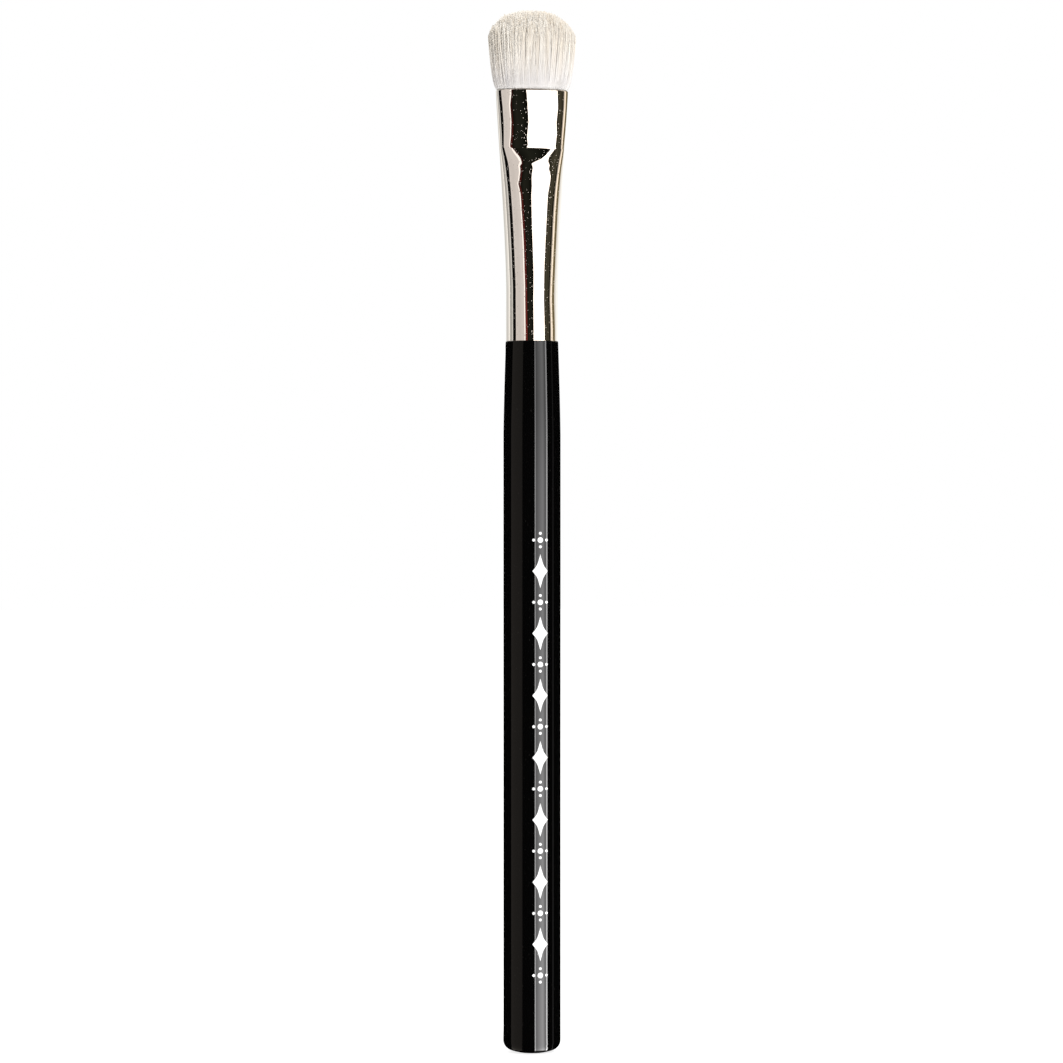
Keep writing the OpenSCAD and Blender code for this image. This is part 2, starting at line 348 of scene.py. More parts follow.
def bare_beech():
    """Beech with its grain along the handle and its short dark flecks."""
    made, tree, shader = finish("bare_beech", Roughness=0.62, Specular_IOR_Level=0.3)
    lines = grain(tree, 1900, detail=3.0, roughness=0.65, along=0.02)
    rings = put(tree, "ShaderNodeTexWave", {"Vector": stretched(tree, 0.01, 0.25), "Scale": 420.0,
                "Distortion": 2.4, "Detail": 2.0, "Detail Scale": 1.5}, bands_direction="X").outputs["Fac"]
    wood = mixed(rings, *WOOD_TONES)
    wood = mixed(ranged(lines, 0.45, 0.75, 0.0, 0.5), wood, GRAIN_TONE)
    flecks = grain(tree, 3600, detail=0.0, along=0.09)
    paint(shader, ranged(flecks, 0.66, 0.72), (wood, FLECK_TONE))
    emboss(shader, lines, WOOD_DEPTH)
    return made


def clear_adhesive():
    """Set adhesive, slightly yellow, with a few trapped bubbles."""
    made, tree, shader = finish("clear_adhesive", Roughness=0.18, IOR=1.5, Transmission_Weight=0.7)
    bubbles = result(tree, "ShaderNodeTexVoronoi", {"Vector": stretched(tree), "Scale": 1500.0})
    paint(shader, grain(tree, 700, detail=3.0), GLUE_TONES)
    emboss(shader, ranged(bubbles, 0.12, 0.2), BUBBLE_DEPTH)
    return made


def amber_resin():
    """Cast amber resin, cloudy where it has soaked the hair."""
    made, tree, shader = finish("amber_resin", Roughness=0.12, IOR=1.53, Transmission_Weight=0.5)
    cloud = grain(tree, 520, detail=4.0, roughness=0.6, along=0.5)
    paint(shader, ranged(cloud, 0.3, 0.7), RESIN_TONES)
    emboss(shader, cloud, CLOUD_DEPTH)
    return made


def cotton_thread():
    """Waxed two-ply cotton: its twist runs round the thread along the piece's own map."""
    made, tree, shader = finish("cotton_thread", Roughness=0.7, Sheen_Weight=0.2)
    lay = result(tree, "ShaderNodeUVMap", uv_map="along_thread")
    twist = put(tree, "ShaderNodeTexWave", {"Vector": lay, "Scale": 0.5, "Distortion": 0.6, "Detail": 1.0},
                bands_direction="DIAGONAL").outputs["Fac"]
    paint(shader, times(twist, grain(tree, 9000)), THREAD_TONES)
    emboss(shader, twist, TWIST_DEPTH)
    return made


# Meshes

SMOOTH_BELOW = radians(40)


def meshed(name, points, faces):
    mesh = bpy.data.meshes.new(name)
    mesh.from_pydata([tuple(p) for p in points], [], faces)
    return mesh


def added(name, data):
    """A new object in the scene."""
    made = bpy.data.objects.new(name, data)
    bpy.context.scene.collection.objects.link(made)
    return made


def piece(name, points, faces, material, slot, replaced=()):
    """A finished piece of the object: a mesh in place, smooth but for edges sharper than an angle."""
    mesh = meshed(name, points, faces)
    mesh.validate()
    mesh.shade_smooth()
    mesh.set_sharp_from_angle(angle=SMOOTH_BELOW)
    return dress(name, mesh, material, replaced)


def give(mesh, material):
    """Gives a mesh one material."""
    mesh.materials.clear()
    mesh.materials.append(material)


def dress(name, mesh, material, replaced=()):
    made = added(name, mesh)
    give(mesh, material)
    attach(made, BODY)
    if replaced:
        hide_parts(*replaced)
    return made


def turn_angles(sides):
    return np.linspace(0, 2 * np.pi, sides, endpoint=False)


def skin(rings, closed=False):
    """Faces over rings of points, going up the outside. A ring of one point is a pole."""
    points = np.vstack(rings)
    starts = np.cumsum([0] + [len(r) for r in rings])
    faces = []
    pairs = [(k, k + 1) for k in range(len(rings) - 1)]
    if closed:
        pairs.append((len(rings) - 1, 0))
    for low, high in pairs:
        sides = max(len(rings[low]), len(rings[high]))
        for i in range(sides):
            j = (i + 1) % sides
            below = [starts[low] + i, starts[low] + j] if len(rings[low]) > 1 else [starts[low]]
            above = [starts[high] + j, starts[high] + i] if len(rings[high]) > 1 else [starts[high]]
            faces.append([int(v) for v in below + above])
    return points, faces


def capped(rings, low, high):
    """Skin over rings, closed by a pole on the axis at each end, at two heights."""
    return skin([np.array([[0, 0, low]])] + rings + [np.array([[0, 0, high]])])


def turned(outline, sides):
    """Rings of a shape turned round the axis. Its outline is a list of radius and height."""
    angles = turn_angles(sides)
    rings = []
    for radius, height in outline:
        if radius <= 0:
            rings.append(np.array([[0.0, 0.0, height]]))
        else:
            rings.append(np.column_stack([radius * np.cos(angles), radius * np.sin(angles),
                                          np.full(sides, height)]))
    return rings


# Handle

INK_T = 0.006 * MM
HANDLE_SIDES = 192
ARC_STEPS = 14
BARREL_STEPS = 24
NECK_STEPS = 40
LIP_STEPS = 8


def arc(middle, radius, start, end):
    """Points on an arc, whose angle runs from straight down, outwards."""
    return [(middle[0] + radius * sin(a), middle[1] - radius * cos(a))
            for a in np.linspace(start, end, ARC_STEPS + 1)]


def neck_radius(share):
    return BARREL_R - (BARREL_R - FERRULE_R) * share ** NECK_EASE


def handle_side(inset, top):
    """The handle's outline from the butt's middle to a height, moved inwards by inset."""
    round_r = BARREL_R - BUTT_ROUND
    reach = BUTT_DOME_R - BUTT_ROUND
    dome_z = sqrt(BUTT_DOME_R ** 2 - FOOT_R ** 2)
    round_z = dome_z - sqrt(reach ** 2 - round_r ** 2)
    foot = acos((dome_z - inset) / (BUTT_DOME_R - inset))
    meet = asin(round_r / reach)
    neck_z = HANDLE_LEN - NECK_LEN
    dome = [(0.0, inset)] + arc((0, dome_z), BUTT_DOME_R - inset, foot, meet)
    edge = arc((round_r, round_z), BUTT_ROUND - inset, meet, pi / 2)[1:]
    barrel = [(BARREL_R - inset, z) for z in np.linspace(round_z, neck_z, BARREL_STEPS)[1:-1]]
    run = (top - neck_z) / NECK_LEN
    shares = np.append(np.linspace(0, run - EDGE_GUARD / NECK_LEN, NECK_STEPS), run)
    neck = [(neck_radius(s) - inset, neck_z + NECK_LEN * s) for s in shares]
    return dome + edge + barrel + neck


def make_coat(lacquer):
    """The lacquer on the handle, with a rounded lip where it meets the ferrule."""
    outside = handle_side(INK_T, HANDLE_LEN - COAT_LIP)
    lip_r = outside[-1][0] - COAT_LIP
    lip = [(lip_r + COAT_LIP * cos(a), HANDLE_LEN - COAT_LIP + COAT_LIP * sin(a))
           for a in np.linspace(0, pi / 2, LIP_STEPS)[1:]]
    seat_r = glue_low_radius() + FIT_GAP
    inside = handle_side(COAT_T, HANDLE_LEN - COAT_T)[::-1]
    outline = outside + lip + [(seat_r, HANDLE_LEN), (seat_r, HANDLE_LEN - COAT_T)] + inside
    return piece("lacquered_handle", *skin(turned(outline, HANDLE_SIDES)), lacquer, "black_lacquer",
                 ["lacquer_coat"])


def glue_low_radius():
    """Radius of the wooden tenon, a thin layer of adhesive inside the ferrule's bore."""
    return FERRULE_R - FERRULE_WALL - COAT_T


# Print: a plain ornament of lozenges and dots

PRINT_LOW_ROW = 972
PRINT_HIGH_ROW = 540
PRINT_TURN = radians(7)
MOTIFS = 7
LOZENGE = (1.2 * MM, 2.5 * MM)
LOZENGE_STEPS = 6
LOZENGE_PULL = 0.22
BEAD_R = 0.42 * MM
BEAD_SIDES = 20
DOT_R = 0.22 * MM
DOT_SIDES = 14
DOT_OFF = 1.0 * MM
STAMP_STEPS = (1.0, 0.84, 0.68, 0.52, 0.36, 0.18)


def row_height(row):
    """Height on the brush of a row of the photograph."""
    return (BUTT_ROW - row) * PHOTO_SCALE


def on_barrel(across, height, radius):
    angle = -pi / 2 + PRINT_TURN + across / BARREL_R
    return (radius * cos(angle), radius * sin(angle), height)


def stamp(outline, centre):
    """A closed patch of ink, a star-shaped outline laid on the barrel round its centre."""
    under, over = BARREL_R - 3 * INK_T, BARREL_R

    def ring(scale, radius):
        return np.array([on_barrel(centre[0] + scale * x, centre[1] + scale * y, radius)
                         for x, y in outline])

    rings = [np.array([on_barrel(*centre, under)]), ring(1.0, under)]
    rings += [ring(scale, over) for scale in STAMP_STEPS]
    rings.append(np.array([on_barrel(*centre, over)]))
    return skin(rings)


def lozenge(half_w, half_h):
    """A lozenge with drawn-in sides."""
    corners = [(half_w, 0), (0, half_h), (-half_w, 0), (0, -half_h)]
    outline = []
    for n, (x, y) in enumerate(corners):
        nx, ny = corners[(n + 1) % 4]
        for share in np.arange(0, 1, 1 / LOZENGE_STEPS):
            pull = 1 - LOZENGE_PULL * sin(pi * share)
            outline.append(((x + (nx - x) * share) * pull, (y + (ny - y) * share) * pull))
    return outline


def disc(radius, sides):
    return [(radius * cos(a), radius * sin(a)) for a in turn_angles(sides)]


def joined(patches):
    """Several patches as one list of points and one of faces."""
    points, faces = [], []
    for some_points, some_faces in patches:
        faces += [[v + len(points) for v in f] for f in some_faces]
        points += list(some_points)
    return points, faces


def make_print(ink):
    low, high = row_height(PRINT_LOW_ROW), row_height(PRINT_HIGH_ROW)
    pitch = (high - low) / MOTIFS
    patches = [stamp(lozenge(*LOZENGE), (0, low + pitch * (n + 0.5))) for n in range(MOTIFS)]
    for n in range(MOTIFS + 1):
        joint = low + pitch * n
        patches.append(stamp(disc(BEAD_R, BEAD_SIDES), (0, joint)))
        for x, z in ((-1, 0), (1, 0), (0, -1), (0, 1)):
            patches.append(stamp(disc(DOT_R, DOT_SIDES), (DOT_OFF * x, joint + DOT_OFF * z)))
    return piece("handle_print", *joined(patches), ink, "black_lacquer")


# Ferrule

FERRULE_SIDES = 256
PLAIN_STEPS = 12
FLARE_STEPS = 34
SHOULDER_STEPS = 44
PRESS_STEPS = 26
RIM_STEPS = 8
HEM_STEPS = 6
# How closely the shoulder's rings crowd up to the press, and the rings in the edge's rounding
SHOULDER_CROWD = 1.6
EDGE_SHARES = np.linspace(-0.75, 1, 8)


def limit(value):
    return np.clip(value, 0.0, 1.0)


def flare(h):
    return limit((h - FLARE_START) / (FERRULE_LEN - FLARE_START))


def half_w(h):
    widened = 1 - (1 - flare(h) ** WIDEN_EASE) ** MOUTH_EASE
    return FERRULE_R + (MOUTH_HALF_W - FERRULE_R) * widened


def half_t(h):
    return FERRULE_R + (MOUTH_HALF_T - FERRULE_R) * flare(h) ** THIN_EASE


def pinch(across, h):
    """How far the press has pushed a face in, at a share of the half width and a height."""
    if h >= PRESS_H:
        return PRESS_DEPTH * limit((FERRULE_LEN - h) / PRESS_LEN) ** PRESS_EASE * np.ones_like(across)
    steep = limit(1 - (2 * across * half_w(PRESS_H) / PRESS_W) ** 2) ** 2

    def ramp(run):
        return limit(1 - (PRESS_H - h) / run) ** SHOULDER_EASE

    return PRESS_DEPTH * (steep * ramp(SHOULDER_LEN) + (1 - steep) * ramp(SHOULDER_SIDE_LEN))


def soft_pinch(across, h):
    """The pinch, with the edge of the press rounded."""
    weights = ((-1, 1), (-0.5, 2), (0, 2), (0.5, 2), (1, 1))
    total = sum(w for _, w in weights)
    return sum(w * pinch(across, min(h + k * PRESS_ROUND, FERRULE_LEN)) for k, w in weights) / total


def section(h, inset, sides=FERRULE_SIDES, ripple=0.0):
    """A ring of the ferrule's section at a height above its lower edge, moved inwards by inset."""
    angles = turn_angles(sides)
    across, through = np.cos(angles), np.sin(angles)
    x = (half_w(h) - (inset + ripple)) * across
    y = (half_t(h) - soft_pinch(across, h) - (inset + ripple)) * through
    return np.column_stack([x, y, np.full(sides, HANDLE_LEN + h)])


def ferrule_heights(low, high):
    """Heights of the rings, closest together under the edge of the press."""
    below = np.append(low, np.linspace(low + EDGE_GUARD, FLARE_START, PLAIN_STEPS, endpoint=False))
    flared = np.linspace(FLARE_START, PRESS_H - SHOULDER_SIDE_LEN, FLARE_STEPS, endpoint=False)
    share = np.linspace(1, 0, SHOULDER_STEPS)
    shoulder = PRESS_H - PRESS_ROUND - (SHOULDER_SIDE_LEN - PRESS_ROUND) * share ** SHOULDER_CROWD
    edge = PRESS_H + PRESS_ROUND * EDGE_SHARES
    pressed = np.append(np.linspace(PRESS_H + PRESS_ROUND, high - EDGE_GUARD, PRESS_STEPS)[1:], high)
    return np.concatenate([below, flared, shoulder, edge, pressed])


def make_ferrule(metal):
    """One shell: outside, rounded rim at the mouth, inside, and rounded hem at the handle."""
    half_wall = FERRULE_WALL / 2
    heights = ferrule_heights(HEM_ROUND, FERRULE_LEN - half_wall)
    outside = [section(h, 0.0) for h in heights]
    rim = [section(FERRULE_LEN - half_wall + half_wall * sin(a), half_wall * (1 - cos(a)))
           for a in np.linspace(0, pi, RIM_STEPS + 2)[1:-1]]
    inside = [section(h, FERRULE_WALL) for h in heights[::-1]]
    hem_in = [section(0.0, FERRULE_WALL), section(0.0, HEM_ROUND)]
    hem = [section(HEM_ROUND - HEM_ROUND * sin(a), HEM_ROUND - HEM_ROUND * cos(a))
           for a in np.linspace(pi / 2, 0, HEM_STEPS)[1:-1]]
    return piece("pressed_ferrule", *skin(outside + rim + inside + hem_in + hem, closed=True), metal,
                 "plated_brass", ["ferrule"])


# Tuft

GOLDEN_TURN = pi * (3 - sqrt(5))
# Hairs stand a little closer together near the outside than an even spread would put them
OUTWARD_EASE = 0.47
RAGGED_SHARE = 0.12
RAGGED_POWER = 3.0
TAPER_SHARE = 0.6
TAPER_POWER = 4.0
TIP_DRAW_SHARE = 0.1
RISE_EASE = 2.1
LOCK_WAVE = 0.25 * MM
LOCK_SCALE = 0.45 / MM
CLUMP_SCALE = 3.8 / MM
CLUMP_SHARE = 0.45
CLUMP_LEAN = 1.3 * MM
HAIR_LEAN = 0.5 * MM
LOOSE_EASE = 0.65
# The left side of the tuft is parted into clumps, and the right side lies smooth. From where to where across
# the tuft this changes, and how strong the parting is at each end
PARTED_RANGE = (-0.6, 0.7)
PARTED_SHARES = (1.25, 0.6)
# How far the clumps and single hairs at the edge are kept from leaning out, across and through the tuft
EDGE_HOLD_SHARES = (0.9, 0.7)
TONE_SCALE = 0.6 / MM
# Tone of a single hair and of its clump: the middle of the chance and its swing. Of a broad lock: a range
HAIR_TONE, CLUMP_TONE = (0.35, 0.5), (0.4, 0.45)
LOCK_TONE = (0.35, 0.65, 0.1, 0.5)
# The slice of packed hair in the mouth
SLICE_RINGS = 6
SLICE_SIDES = 96
SLICE_DROP = 0.25 * MM


def group_inputs(tree, sizes):
    """Gives the group a named input for each size, and returns its input node."""
    for name, (kind, _) in sizes.items():
        tree.interface.new_socket(name, in_out="INPUT", socket_type=kind)
    tree.interface.new_socket("Geometry", in_out="OUTPUT", socket_type="NodeSocketGeometry")
    return tree.nodes.new("NodeGroupInput").outputs


def grown(name, tree, sizes):
    """The plain mesh that a Geometry Nodes group makes from its named inputs."""
    holder = added(name, bpy.data.meshes.new(name))
    modifier = holder.modifiers.new(name, "NODES")
    modifier.node_group = tree
    for item in tree.interface.items_tree:
        if item.in_out == "INPUT":
            modifier[item.identifier] = sizes[item.name][1]
    seen = holder.evaluated_get(bpy.context.evaluated_depsgraph_get())
    mesh = bpy.data.meshes.new_from_object(seen)
    holder.modifiers.remove(modifier)
    bpy.data.objects.remove(holder)
    mesh.name = name
    return mesh


def attribute(tree, name):
    """The three parts of a named vector attribute."""
    return parts_of(result(tree, "GeometryNodeInputNamedAttribute", {"Name": name},
                           data_type="FLOAT_VECTOR"))


def stored(geometry, name, value, kind="FLOAT"):
    return result(geometry.id_data, "GeometryNodeStoreNamedAttribute",
                  {"Geometry": geometry, "Name": name, "Value": value}, data_type=kind)


def hair_foot(tree, sizes):
    """Points of the unit disc where the hairs stand, as a sunflower's seeds do, with random numbers."""
    number = result(tree, "GeometryNodeInputIndex")
    place = calc("MULTIPLY_ADD", number, float(LOCKS), sizes["Lock"])
    share = calc("DIVIDE", calc("ADD", place, 0.5), times(sizes["Hairs"], float(LOCKS)))
    reach = calc("POWER", share, OUTWARD_EASE)
    angle = times(place, GOLDEN_TURN)
    spot = vector_of(times(reach, calc("COSINE", angle)), times(reach, calc("SINE", angle)), reach)
    luck = result(tree, "FunctionNodeRandomValue", {"Min": (0.0, 0.0, 0.0), "Max": (1.0, 1.0, 1.0),
                  "ID": number, "Seed": sizes["Seed"]}, data_type="FLOAT_VECTOR")
    points = result(tree, "GeometryNodePoints", {"Count": sizes["Hairs"]})
    return stored(stored(points, "foot", spot, "FLOAT_VECTOR"), "luck", luck, "FLOAT_VECTOR")


def rods_on_feet(tree, sizes):
    """One straight hair of unit length, repeated on every foot."""
    rod = result(tree, "GeometryNodeMeshCylinder", {"Vertices": HAIR_SIDES, "Side Segments": HAIR_STEPS,
                 "Radius": 1.0, "Depth": 1.0}, fill_type="NGON")
    rod = stored(rod, "rod", result(tree, "GeometryNodeInputPosition"), "FLOAT_VECTOR")
    standing = result(tree, "GeometryNodeInstanceOnPoints",
                      {"Points": hair_foot(tree, sizes), "Instance": rod})
    return result(tree, "GeometryNodeRealizeInstances", {"Geometry": standing})


def hair_length(sizes, reach, chance):
    """Length of a hair: the domed tip, less a ragged share."""
    fall = rest_of(reach, reach, clamp=True)
    dome = between(sizes["Belly height"], sizes["Hair length"], calc("SQRT", fall))
    short = times(calc("POWER", chance, RAGGED_POWER), sizes["Ragged share"])
    return times(dome, rest_of(short))


def hair_sways(tree, sizes, plan, cell, height, feet, luck):
    """How far a hair sways across and through the tuft, more towards the tip.

    It leans with its broad lock, gathers in its small clump, leans with that clump and strays a little.
    """
    loose = calc("POWER", calc("DIVIDE", calc("MAXIMUM", height, 0.0), sizes["Hair length"]), LOOSE_EASE)
    parted = ranged(feet[0], *PARTED_RANGE, *PARTED_SHARES)
    sway = parts_of(noise(plan, LOCK_SCALE, 1.0).outputs["Color"])
    swing = times(loose, 2 * LOCK_WAVE)
    pull = parts_of(result(tree, "ShaderNodeVectorMath", {0: cell["Position"], 1: plan},
                           operation="SUBTRACT"))
    gather = times(loose, CLUMP_SHARE, parted)
    of_clump = parts_of(cell["Color"])
    bend = times(loose, loose)
    sways = []
    for n, (foot, hold) in enumerate(zip(feet, EDGE_HOLD_SHARES)):
        free = times(rest_of(foot, foot, hold), parted)
        sways.append([about(sway[n], 0.5, swing),
                      times(pull[n], gather),
                      about(of_clump[n + 1], 0.5, times(bend, CLUMP_LEAN, free)),
                      about(luck[n + 1], 0.5, times(bend, sizes["Lean"], free))])
    return sways


def hair_tone(plan, of_clump, chance):
    """Tone of a hair: whole locks and clumps are warmer, and single hairs differ."""
    broad = noise(plan, TONE_SCALE, 2.0).outputs["Fac"]
    clump_middle, clump_swing = CLUMP_TONE
    tone = calc("MULTIPLY_ADD", calc("SUBTRACT", of_clump, clump_middle), clump_swing,
                about(chance, *HAIR_TONE))
    return calc("ADD", tone, ranged(broad, *LOCK_TONE), clamp=True)


def hair_group():
    """Geometry Nodes group of one lock: thin tapered hairs from inside the mouth to the domed tip."""
    tree = bpy.data.node_groups.new("hair_lock", "GeometryNodeTree")
    inputs = group_inputs(tree, hair_sizes(0, None))
    sizes = {s.name: s for s in inputs if s.name}
    hairs = rods_on_feet(tree, sizes)
    foot_x, foot_y, reach = attribute(tree, "foot")
    luck = attribute(tree, "luck")
    rod_x, rod_y, rod_z = attribute(tree, "rod")
    along = calc("ADD", rod_z, 0.5)
    length = hair_length(sizes, reach, luck[0])

    # Height of each ring: the first lies at the foot, the second at the mouth
    step = 1.0 / HAIR_STEPS
    above = ranged(along, step, 1.0)
    below = ranged(along, 0.0, step, -1.0, 0.0)
    height = calc("ADD", times(length, calc("POWER", above, RISE_EASE)), times(sizes["Foot depth"], below))
    rise = calc("DIVIDE", calc("MAXIMUM", height, 0.0), sizes["Belly height"], clamp=True)
    spread = calc("POWER", rise, SPREAD_EASE)
    tip = ranged(height, sizes["Belly height"], sizes["Hair length"])
    kept = rest_of(times(reach, reach), times(tip, tip), TIP_DRAW_SHARE)
    thick = times(sizes["Hair radius"], rest_of(calc("POWER", along, TAPER_POWER), TAPER_SHARE))

    plan = vector_of(times(foot_x, sizes["Tuft half width"]),
                     times(foot_y, sizes["Tuft half thickness"]), 0.0)
    cell = put(tree, "ShaderNodeTexVoronoi", {"Vector": plan, "Scale": CLUMP_SCALE}).outputs
    sways = hair_sways(tree, sizes, plan, cell, height, (foot_x, foot_y), luck)

    def side(foot, rod_side, way, some_sways):
        half = between(sizes[f"Mouth half {way}"], sizes[f"Tuft half {way}"], spread)
        total = calc("MULTIPLY_ADD", rod_side, thick, times(half, kept, foot))
        for sway in some_sways:
            total = calc("ADD", total, sway)
        return total

    x, y = side(foot_x, rod_x, "width", sways[0]), side(foot_y, rod_y, "thickness", sways[1])
    place = vector_of(x, y, calc("ADD", height, sizes["Mouth height"]))
    tone = hair_tone(plan, parts_of(cell["Color"])[0], luck[1])
    hairs = stored(hairs, "hair_tone", tone)
    hairs = stored(hairs, "hair_along", above)
    last_steps = [("SetPosition", {"Position": place})]
    last_steps += [("RemoveAttribute", {"Name": name}) for name in ("foot", "luck", "rod")]
    last_steps += [("SetShadeSmooth", {}), ("SetMaterial", {"Material": sizes["Material"]})]
    for kind, values in last_steps:
        hairs = result(tree, "GeometryNode" + kind, {"Geometry": hairs, **values})
    put(tree, "NodeGroupOutput", {"Geometry": hairs})
    return tree


def hair_sizes(lock, hair):
    """Named inputs of the lock's group: kind of socket and value."""
    counts = {"Hairs": HAIRS_IN_LOCK, "Lock": lock, "Seed": HAIR_SEED + lock}
    lengths = {
        "Mouth height": MOUTH_Z,
        "Mouth half width": HAIR_HALF_W,
        "Mouth half thickness": HAIR_HALF_T,
        "Tuft half width": TUFT_HALF_W,
        "Tuft half thickness": TUFT_HALF_T,
        "Belly height": BELLY_H,
        "Hair length": HAIR_LEN,
        "Foot depth": SLICE_DEPTH,
        "Hair radius": HAIR_R,
        "Lean": HAIR_LEAN,
        "Ragged share": RAGGED_SHARE,
    }
    kinds = {"NodeSocketInt": counts, "NodeSocketFloat": lengths, "NodeSocketMaterial": {"Material": hair}}
    return {name: (kind, value) for kind, values in kinds.items() for name, value in values.items()}


def make_tuft(hair, packed):
    """Interleaved locks of hairs, and the slice of packed hair that holds their feet."""
    tree = hair_group()
    for lock in range(LOCKS):
        name = f"tuft_hairs_{lock + 1}"
        dress(name, grown(name, tree, hair_sizes(lock, hair)), hair,
              ["hair_tuft"] if lock == 0 else ())
    heights = np.linspace(FERRULE_LEN - SLICE_DEPTH, FERRULE_LEN - SLICE_DROP, SLICE_RINGS)
    rings = [section(h, HAIR_INSET, SLICE_SIDES) for h in heights]
    piece("tuft_packed_foot", *capped(rings, tuft_low.z, HANDLE_LEN + heights[-1]), packed, "white_hair")


# Root of the hair, inside the ferrule

ROOT_SIDES = 160
ROOT_RINGS = 40
FLUTES = 80
FLUTE_DEPTH = 0.02 * MM
THREAD_SIDES = 12
TURN_STEPS = 64
RESIN_SIDES = 128
RESIN_RINGS, CUP_RINGS = 12, 6


def root_inset(h):
    """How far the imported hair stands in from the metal: it fills the mouth and draws in at the tie."""
    tie_top = binding_high.z - HANDLE_LEN - THREAD_R
    share = limit((h - tie_top) / (PRESS_H - tie_top))
    return HAIR_INSET + TIE_ROOM * (1 - share * share * (3 - 2 * share))


def make_root(packed):
    """Packed hair, finely fluted along its length."""
    flutes = FLUTE_DEPTH * (0.5 - 0.5 * np.cos(FLUTES * turn_angles(ROOT_SIDES)))
    heights = np.linspace(root_low.z, root_high.z, ROOT_RINGS) - HANDLE_LEN
    rings = [section(h, root_inset(h), ROOT_SIDES, flutes) for h in heights]
    piece("packed_hair_root", *capped(rings, root_low.z, root_high.z), packed, "white_hair", ["hair_root"])


def make_thread(cotton):
    """The tying thread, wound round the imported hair."""
    start = binding_low.z + THREAD_R - HANDLE_LEN
    climb = (binding_high.z - binding_low.z - 2 * THREAD_R) / THREAD_TURNS
    middle_inset = HAIR_INSET + TIE_ROOM - THREAD_R - FIT_GAP
    around = turn_angles(THREAD_SIDES)
    rings = []
    for k in range(THREAD_TURNS * TURN_STEPS + 1):
        turn = k / TURN_STEPS
        angle = 2 * pi * turn
        h = start + climb * turn
        wide, deep = half_w(h) - middle_inset, half_t(h) - middle_inset
        middle = np.array([wide * cos(angle), deep * sin(angle), HANDLE_LEN + h])
        out = np.array([cos(angle) / wide, sin(angle) / deep, 0])
        out /= np.linalg.norm(out)
        rings.append(middle + THREAD_R * (np.outer(np.cos(around), out)
                                          + np.outer(np.sin(around), [0, 0, 1])))
    ends = [rings[0].mean(axis=0, keepdims=True), rings[-1].mean(axis=0, keepdims=True)]
    made = piece("binding_thread", *skin([ends[0]] + rings + [ends[1]]), cotton, "cotton_thread",
                 ["root_binding"])
    layer = made.data.uv_layers.new(name="along_thread")
    points = np.array([v.co for v in made.data.vertices])
    for loop in made.data.loops:
        ring, side = divmod(max(loop.vertex_index - 1, 0), THREAD_SIDES)
        length = ring / TURN_STEPS * 2 * pi * np.hypot(*points[1][:2]) / THREAD_R
        layer.data[loop.index].uv = (length, 2 * pi * side / THREAD_SIDES)


def make_resin(resin):
    """Resin cast round the end of the hair, as a cup with a thick floor."""
    floor_h = resin_low.z - HANDLE_LEN
    cup_h = root_low.z - FIT_GAP - HANDLE_LEN
    top_h = resin_high.z - HANDLE_LEN
    outer = FERRULE_WALL + FIT_GAP
    outside = [section(h, outer, RESIN_SIDES) for h in np.linspace(floor_h, top_h, RESIN_RINGS)]
    inside = [section(h, root_inset(h) - FIT_GAP, RESIN_SIDES) for h in np.linspace(top_h, cup_h, CUP_RINGS)]
    piece("set_resin", *capped(outside + inside, resin_low.z, HANDLE_LEN + cup_h), resin, "amber_resin",
          ["root_resin"])


# Stage

# The cards: radius, most degrees from point to point, least steps across, and heights of the top and the foot
CARD_R = 30 * MM
CARD_STEP = 3
LEAST_STEPS = 2
CARD_TOP = 400 * MM
CARD_FOOT = 0.04 * MM
# How the spot that the camera sees on the ferrule is found: how far before the axis the search starts, its
# steps to either side of the axis, how often it halves, and the step that gives the slope there
SEEK_FROM = 9 * MM
SEEK_STEP = 0.25 * MM
SEEK_STEPS = 12
SEEK_HALVINGS = 30
NORMAL_STEP = 0.004 * MM
WHITE, COOL_WHITE = (1, 1, 1), (0.96, 1.02, 1.05)
AMBIENT = 0.84
FLOOR_REACH = 3.0
# Tone of the floor in bounced light, and its tone and its own glow where it is seen or mirrored
FLOOR_TONE, FLOOR_SHADE, FLOOR_GLOW = 0.8, 0.45, 0.8
# The lamps: angles to the side and upwards from the camera's direction, and power
LAMPS = {"key_lamp": (34, 36, 6.0), "back_lamp": (-150, 30, 2.5)}
LAMP_DISTANCE = 0.9
LAMP_WIDTH = 0.55


def seen_rays(tree):
    """1 for camera, glossy and transmission rays, which see the white background, and 0 for others."""
    path = put(tree, "ShaderNodeLightPath").outputs
    shown = calc("MAXIMUM", path["Is Camera Ray"], path["Is Glossy Ray"])
    return calc("MAXIMUM", shown, path["Is Transmission Ray"])


def pale_floor():
    """Plain pale floor, near white to the eye, which still takes the brush's shadow."""
    made = bpy.data.materials.new("pale_floor")
    tree = bare_tree(made)
    plain, shaded = (result(tree, "ShaderNodeBsdfDiffuse", {"Color": (*[tone] * 3, 1)})
                     for tone in (FLOOR_TONE, FLOOR_SHADE))
    lit = result(tree, "ShaderNodeEmission", {"Color": (1, 1, 1, 1), "Strength": FLOOR_GLOW})
    shown = result(tree, "ShaderNodeAddShader", {0: shaded, 1: lit})
    both = result(tree, "ShaderNodeMixShader", {0: seen_rays(tree), 1: plain, 2: shown})
    put(tree, "ShaderNodeOutputMaterial", {"Surface": both})
    return made


def make_floor():
    corners = [(x * FLOOR_REACH, y * FLOOR_REACH, 0) for x, y in ((-1, -1), (1, -1), (1, 1), (-1, 1))]
    mesh = meshed("floor", corners, [(0, 1, 2, 3)])
    mesh.materials.append(pale_floor())
    floor = added("floor", mesh)


